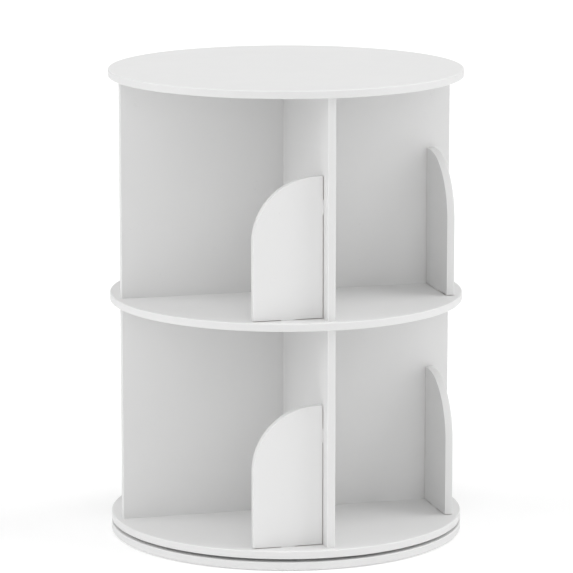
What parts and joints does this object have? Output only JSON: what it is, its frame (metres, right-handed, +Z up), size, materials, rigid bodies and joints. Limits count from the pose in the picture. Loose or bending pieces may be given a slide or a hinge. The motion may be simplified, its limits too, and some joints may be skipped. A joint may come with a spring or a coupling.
{
  "type": "revolving bookcase",
  "caption": "Round white tiered bookcase whose shelves, crossed dividers and arched book stops turn as one on a hidden ball-bearing turntable.",
  "frame": {"origin": "on the floor plane, on the turning axis of the carousel", "axes": "+Z up along the turning axis, -Y towards the front divider end seen in the picture, +X to the right"},
  "size_m": [0.5499, 0.55, 0.7305],
  "materials": {
    "white_laminate": "white melamine laminate on board, satin with a fine orange peel",
    "white_edging": "white plastic edge banding, satin, trimmed to a soft edge",
    "pad_rubber": "dark matt foam rubber pads",
    "ring_aluminium": "turned aluminium, satin",
    "ball_steel": "polished bearing steel",
    "retainer_nylon": "natural nylon, matt",
    "beech": "plain beech, unfinished",
    "lock_zinc": "die-cast zinc, dull",
    "plated_steel": "zinc-plated steel",
    "cap_plastic": "white plastic, slightly glossy"
  },
  "bodies": {
    "base": {"base_disc": "white_laminate", "base_edge_band": "white_edging", "foot_pads": "pad_rubber", "bearing_inner_ring": "ring_aluminium", "inner_ring_screws": "plated_steel"},
    "ball_cage": {"bearing_balls": "ball_steel", "ball_retainer": "retainer_nylon"},
    "carousel": {"bearing_outer_ring": "ring_aluminium", "bottom_shelf": "white_laminate", "bottom_shelf_dowels": "beech", "bottom_shelf_edge_band": "white_edging", "double_cam_bolts": "plated_steel", "lower_back_divider_band": "white_edging", "lower_back_left_stop": "white_laminate", "lower_back_left_stop_band": "white_edging", "lower_back_right_stop": "white_laminate", "lower_back_right_stop_band": "white_edging", "lower_cam_caps": "cap_plastic", "lower_cam_locks": "lock_zinc", "lower_cross_dowels": "beech", "lower_front_divider_band": "white_edging", "lower_front_left_stop": "white_laminate", "lower_front_left_stop_band": "white_edging", "lower_front_right_stop": "white_laminate", "lower_front_right_stop_band": "white_edging", "lower_left_divider_band": "white_edging", "lower_left_half_divider": "white_laminate", "lower_right_divider_band": "white_edging", "lower_right_half_divider": "white_laminate", "lower_through_divider": "white_laminate", "middle_shelf": "white_laminate", "middle_shelf_dowels": "beech", "middle_shelf_edge_band": "white_edging", "outer_ring_screws": "plated_steel", "shelf_screws": "plated_steel", "top_cam_bolts": "plated_steel", "top_shelf": "white_laminate", "top_shelf_dowels": "beech", "top_shelf_edge_band": "white_edging", "upper_back_divider_band": "white_edging", "upper_back_left_stop": "white_laminate", "upper_back_left_stop_band": "white_edging", "upper_back_right_stop": "white_laminate", "upper_back_right_stop_band": "white_edging", "upper_cam_caps": "cap_plastic", "upper_cam_locks": "lock_zinc", "upper_cross_dowels": "beech", "upper_front_divider_band": "white_edging", "upper_front_left_stop": "white_laminate", "upper_front_left_stop_band": "white_edging", "upper_front_right_stop": "white_laminate", "upper_front_right_stop_band": "white_edging", "upper_left_divider_band": "white_edging", "upper_left_half_divider": "white_laminate", "upper_right_divider_band": "white_edging", "upper_right_half_divider": "white_laminate", "upper_through_divider": "white_laminate"}
  },
  "joints": [
    {"name": "carousel_spin", "type": "hinge", "parent": "base", "child": "carousel", "pos_m": [0, 0, 0.018], "axis": [0, 0, 1], "continuous": true},
    {"name": "ball_cage_spin", "type": "hinge", "parent": "base", "child": "ball_cage", "pos_m": [0, 0, 0.014], "axis": [0, 0, 1], "continuous": true}
  ],
  "couplings": [
    {"joint": "ball_cage_spin", "follows": "carousel_spin", "ratio": 0.5}
  ]
}
